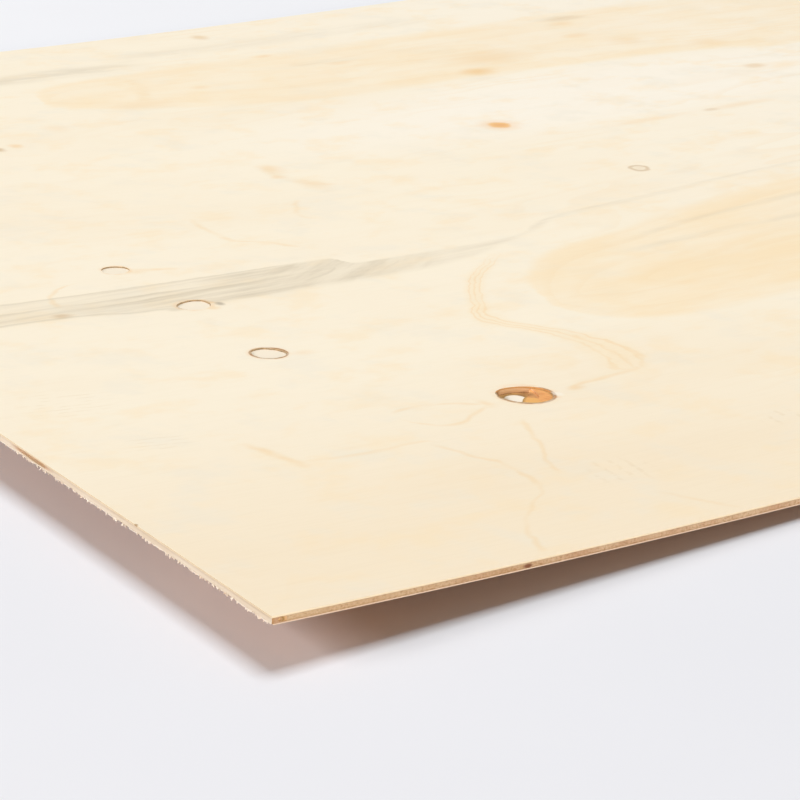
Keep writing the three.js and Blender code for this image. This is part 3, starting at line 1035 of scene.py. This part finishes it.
class PLYWOOD_OT_tear_ends(bpy.types.Operator):
    """Sets torn fibres along the lower edge of both cross-cut ends"""

    bl_idname = "plywood.tear_ends"
    bl_label = "Tear Ends"

    def execute(self, context):
        look = context.scene.plywood_fibres
        finish = torn_finish(context.scene.plywood_core)
        for name, side in (("torn_fibres_near_end", -1), ("torn_fibres_far_end", 1)):
            piece = self.fibres(name, side, look)
            paint(piece, finish)
            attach(piece, "root")
        return {"FINISHED"}

    def sliver(self, look):
        """One fibre, hanging down from its root at the origin and drawn out to a ragged point."""
        clear_selection()
        bpy.ops.mesh.primitive_cube_add(size=1, location=(0, 0, -0.5))
        piece = bpy.context.active_object
        bpy.ops.object.mode_set(mode="EDIT")
        bpy.ops.mesh.select_all(action="SELECT")
        bpy.ops.transform.resize(value=(look.thickness, look.width, look.length), center_override=(0, 0, 0))
        bpy.ops.mesh.select_all(action="DESELECT")
        bpy.ops.object.mode_set(mode="OBJECT")
        for face in piece.data.polygons:
            face.select = face.normal.z < -0.5
        bpy.ops.object.mode_set(mode="EDIT")
        bpy.ops.transform.resize(value=(0.4, 0.45, 1))
        bpy.ops.mesh.extrude_region_move(TRANSFORM_OT_translate={"value": (0, 0, -look.length * 0.5)})
        bpy.ops.transform.resize(value=(0.3, 0.2, 1))
        bpy.ops.object.mode_set(mode="OBJECT")
        bpy.ops.object.transform_apply(location=True, rotation=False, scale=False)
        return piece

    def fibres(self, name, side, look):
        draw = random.Random(look.seed + side)
        pattern = self.sliver(look)
        low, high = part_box("back_veneer")
        copies = []
        across = low.y
        while across < high.y:
            across += look.spacing * draw.uniform(0.1, 1.9)
            for _ in range(draw.choice((1, 1, 2))):
                size = draw.uniform(0.5, 1)
                turn = (draw.uniform(-0.7, 0.7), draw.uniform(-0.9, 0.4) * side, draw.uniform(-0.5, 0.5))
                x = side * (high.x - draw.uniform(0.1, 0.9) * look.length)
                y = across + draw.uniform(-1, 1) * look.width
                y = min(max(y, low.y + look.width), high.y - look.width)
                root = Vector((x, y, high.z - 0.1 * MM))
                scale = Vector((1, draw.uniform(0.4, 1), size))
                mesh = pattern.data.copy()
                mesh.transform(Matrix.LocRotScale(root, Euler(turn), scale))
                copies.append(place_in_scene(name, mesh))
        bpy.data.objects.remove(pattern)
        clear_selection()
        for copy in copies:
            copy.select_set(True)
        bpy.context.view_layer.objects.active = copies[0]
        bpy.ops.object.join()
        piece = bpy.context.active_object
        piece.name = name
        return piece


class PLYWOOD_OT_set_stage(bpy.types.Operator):
    """Lays the floor, hangs the light and sets up the camera"""

    bl_idname = "plywood.set_stage"
    bl_label = "Set Stage"

    def execute(self, context):
        look = context.scene.plywood_stage
        self.floor(look)
        self.room(context.scene, look)
        softboxes = (
            ("overhead", look.overhead_place, look.overhead_size, look.overhead_level, look.overhead_tint),
            ("low_side", look.side_place, look.side_size, look.side_level, look.side_tint),
            ("low_front", look.front_place, look.front_size, look.front_level, look.front_tint),
        )
        for softbox in softboxes:
            self.softbox(*softbox)
        self.camera(context.scene, look)
        context.scene.view_settings.view_transform = "Standard"
        return {"FINISHED"}

    def floor(self, look):
        clear_selection()
        bpy.ops.mesh.primitive_plane_add(size=FLOOR_SIZE)
        floor = bpy.context.active_object
        floor.name = "floor"
        cloth = Recipe(bpy.data.materials.new("plain_floor"))
        clouds = cloth.noise(cloth.spot, (300, 300), 2, 0.5)
        # painted light: the floor is painted paler away from the near corner, where the softboxes give less
        # light
        far = cloth.dab(cloth.spot, (-300, -400), (1000, 1000), 1.1, 1.9)
        cloth.base = cloth.blend(far, look.floor, look.far_floor_painted_light)
        cloth.darken(cloth.ease(clouds, 0.3, 0.7), (0.985, 0.985, 0.985))
        paint(floor, cloth.finish(0.8, clouds, depth=0.2, specular=0.2))

    def room(self, scene, look):
        """Even light from all round, and white for whatever the camera sees past the floor."""
        scene.world = bpy.data.worlds.new("studio")
        light = Recipe(scene.world)
        fill = light.step("ShaderNodeBackground", {"Color": look.fill_tint, "Strength": look.fill_level})
        white = light.step("ShaderNodeBackground", {"Color": (1, 1, 1), "Strength": 1})
        rays = light.step("ShaderNodeLightPath", {}).outputs
        seen = light.most(rays["Is Camera Ray"], rays["Is Glossy Ray"], rays["Is Transmission Ray"])
        mix = light.step("ShaderNodeMixShader", {0: seen, 1: fill.outputs[0], 2: white.outputs[0]})
        light.step("ShaderNodeOutputWorld", {0: mix.outputs[0]})

    def softbox(self, name, place, size, level, tint):
        """Square softbox aimed at the near end, with the power that gives its level on the floor there."""
        reach = Vector(place) - Vector((LOW.x, 0, 0))
        clear_selection()
        aim = reach.to_track_quat("Z", "Y").to_euler()
        bpy.ops.object.light_add(type="AREA", location=place, rotation=aim)
        lamp = bpy.context.active_object
        lamp.name = name
        lamp.visible_camera = False
        lamp.data.shape = "SQUARE"
        lamp.data.size = size
        lamp.data.color = tint
        slant = reach.normalized().z
        lamp.data.energy = level * math.pi**2 * (reach.length**2 + size**2 / 4) / slant

    def camera(self, scene, look):
        clear_selection()
        turn = (math.pi / 2 - look.camera_tilt, 0, -look.camera_heading)
        bpy.ops.object.camera_add(location=look.camera_place, rotation=turn)
        scene.camera = bpy.context.active_object
        scene.camera.name = "camera"
        scene.camera.data.lens = look.camera_lens
        scene.camera.data.sensor_width = SENSOR_WIDTH
        scene.camera.data.clip_start = SEEN_FROM
        scene.camera.data.clip_end = SEEN_TO


class PLYWOOD_PT_sheet(bpy.types.Panel):
    """Steps that make the sheet, with their settings"""

    bl_idname = "PLYWOOD_PT_sheet"
    bl_label = "Plywood Sheet"
    bl_space_type = "VIEW_3D"
    bl_region_type = "UI"
    bl_category = "Plywood"

    def draw(self, context):
        for name, group, operators in STEPS:
            box = self.layout.box()
            for setting in group.__annotations__:
                box.prop(getattr(context.scene, name), setting)
            for operator in operators:
                box.operator(operator.bl_idname)


STEPS = (  # settings on the scene, and the operators that use them
    ("plywood_face", PlywoodFaceSettings, []),
    ("plywood_core", PlywoodCoreSettings, [PLYWOOD_OT_finish_veneers]),
    ("plywood_bark", PlywoodBarkSettings, [PLYWOOD_OT_line_knot_holes]),
    ("plywood_fibres", PlywoodFibreSettings, [PLYWOOD_OT_tear_ends]),
    ("plywood_stage", PlywoodStageSettings, [PLYWOOD_OT_set_stage]),
)


def register():
    for name, group, operators in STEPS:
        for part in (group, *operators):
            bpy.utils.register_class(part)
        setattr(bpy.types.Scene, name, PointerProperty(type=group))
    bpy.utils.register_class(PLYWOOD_PT_sheet)


def unregister():
    bpy.utils.unregister_class(PLYWOOD_PT_sheet)
    for name, group, operators in reversed(STEPS):
        delattr(bpy.types.Scene, name)
        for part in (*operators, group):
            bpy.utils.unregister_class(part)


def main():
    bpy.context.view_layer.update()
    register()
    bpy.ops.plywood.finish_veneers()
    bpy.ops.plywood.line_knot_holes()
    bpy.ops.plywood.tear_ends()
    bpy.ops.plywood.set_stage()


if __name__ == "__main__":
    main()
